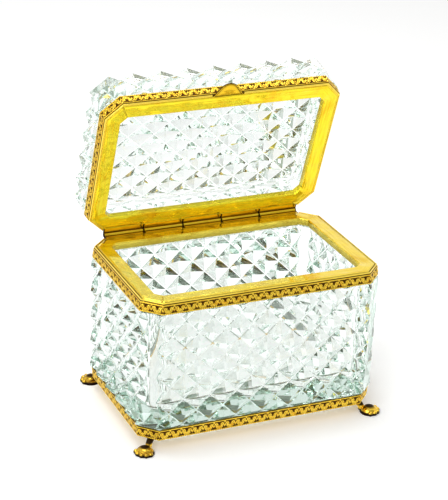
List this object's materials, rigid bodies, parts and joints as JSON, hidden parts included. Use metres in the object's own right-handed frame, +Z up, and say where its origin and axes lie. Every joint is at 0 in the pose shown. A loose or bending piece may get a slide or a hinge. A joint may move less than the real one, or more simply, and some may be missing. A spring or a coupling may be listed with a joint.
{
  "type": "casket box",
  "caption": "Hinged casket box of diamond-cut crystal in gilt brass mounts with an embossed scroll band, on paw feet.",
  "frame": {"origin": "on the standing surface, under the middle of the body, at the centre of the four feet", "axes": "+Z up, +X to the right as seen from the front, +Y to the back, where the hinge is"},
  "size_m": [0.1596, 0.128, 0.1999],
  "materials": {
    "crystal": "clear cut crystal, polished facets",
    "gilt_brass": "worn gilding, softly polished",
    "gilt_band": "embossed gilding with darker hollows",
    "gilt_cast": "cast and gilt, dull in the hollows",
    "screw_brass": "dull brass",
    "plaster": "matt setting plaster"
  },
  "bodies": {
    "casket": {"body_glass": "crystal", "rim_bed": "plaster", "rim_flange": "gilt_brass", "rim_bead": "gilt_brass", "rim_band": "gilt_band", "base_bed": "plaster", "base_ledge": "gilt_brass", "base_band": "gilt_band", "foot_front_left": "gilt_cast", "foot_front_right": "gilt_cast", "foot_rear_right": "gilt_cast", "foot_rear_left": "gilt_cast", "foot_screws": "screw_brass", "body_hinge_leaf": "gilt_brass", "hinge_pin": "screw_brass"},
    "lid": {"lid_hinge_leaf": "gilt_brass", "lid_glass": "crystal", "lid_bed": "plaster", "lid_flange": "gilt_brass", "lid_bead": "gilt_brass", "lid_band": "gilt_band", "thumb_tab": "gilt_brass"}
  },
  "joints": [
    {"name": "lid_hinge", "type": "hinge", "parent": "casket", "child": "lid", "pos_m": [0, 0.0512, 0.09575], "axis": [-1, 0, 0], "range_deg": [-71.15, 28.85]}
  ]
}
